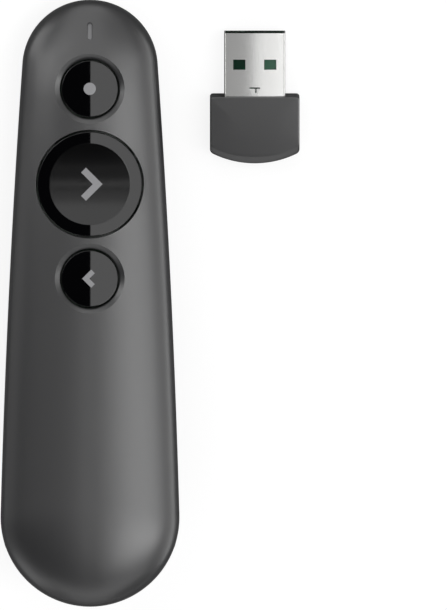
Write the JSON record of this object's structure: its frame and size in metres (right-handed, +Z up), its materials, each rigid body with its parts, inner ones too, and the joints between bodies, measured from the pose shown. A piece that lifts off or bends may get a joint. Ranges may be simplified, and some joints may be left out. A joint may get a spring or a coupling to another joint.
{
  "type": "wireless presentation clicker",
  "caption": "Slim hand-held presentation remote with three push buttons, a slide-off battery door and a plug-in radio receiver lying beside it.",
  "frame": {"origin": "on the table, where the middle of the clicker's back touches it", "axes": "+Z up, +Y towards the clicker's nose, +X to the right seen from above the buttons"},
  "size_m": [0.0586, 0.1179, 0.027],
  "materials": {
    "shell_plastic": "fine satin texture, dark graphite",
    "button_gloss": "polished black",
    "sign_print": "light grey inlay",
    "inner_plastic": "plain black moulding",
    "circuit_board": "green solder mask",
    "board_mask": "black solder mask",
    "chip_black": "moulded package",
    "steel": "bright rolled steel",
    "brass": "turned",
    "light_guide": "milky clear plastic",
    "laser_glass": "dark red filter",
    "cell_sleeve": "plain printed sleeve without words",
    "contact_gold": "gold flash"
  },
  "bodies": {
    "clicker": {"front_shell": "shell_plastic", "rear_shell": "shell_plastic", "battery_tray": "inner_plastic", "main_board": "board_mask", "button_switches": "steel", "board_chips": "chip_black", "status_led": "light_guide", "led_lens": "light_guide", "laser_window": "laser_glass", "laser_barrel": "brass", "laser_holder": "inner_plastic", "board_screws": "steel", "case_screws": "steel", "battery_cell": "steel", "battery_sleeve": "cell_sleeve", "positive_contact": "steel", "negative_spring": "steel"},
    "battery_door": {"battery_door": "shell_plastic"},
    "laser_button": {"laser_cap": "button_gloss", "laser_dot": "sign_print"},
    "next_button": {"next_cap": "button_gloss", "next_arrow": "sign_print"},
    "back_button": {"back_cap": "button_gloss", "back_arrow": "sign_print"},
    "receiver": {"receiver_housing": "shell_plastic", "receiver_cover": "shell_plastic", "usb_shield": "steel", "receiver_board": "circuit_board", "usb_contacts": "contact_gold"}
  },
  "joints": [
    {"name": "laser_press", "type": "slide", "parent": "clicker", "child": "laser_button", "axis": [0, -0.1413, -0.99], "range_m": [0, 0.00035], "stiffness_N_per_m": 2000},
    {"name": "next_press", "type": "slide", "parent": "clicker", "child": "next_button", "axis": [0, -0.1413, -0.99], "range_m": [0, 0.00035], "stiffness_N_per_m": 2000},
    {"name": "back_press", "type": "slide", "parent": "clicker", "child": "back_button", "axis": [0, -0.1413, -0.99], "range_m": [0, 0.00035], "stiffness_N_per_m": 2000},
    {"name": "door_slide", "type": "slide", "parent": "clicker", "child": "battery_door", "axis": [0, -1, 0], "range_m": [0, 0.055]},
    {"name": "receiver_lift", "type": "slide", "parent": "clicker", "child": "receiver", "axis": [0, 0, 1], "range_m": [0, 0.03]}
  ]
}
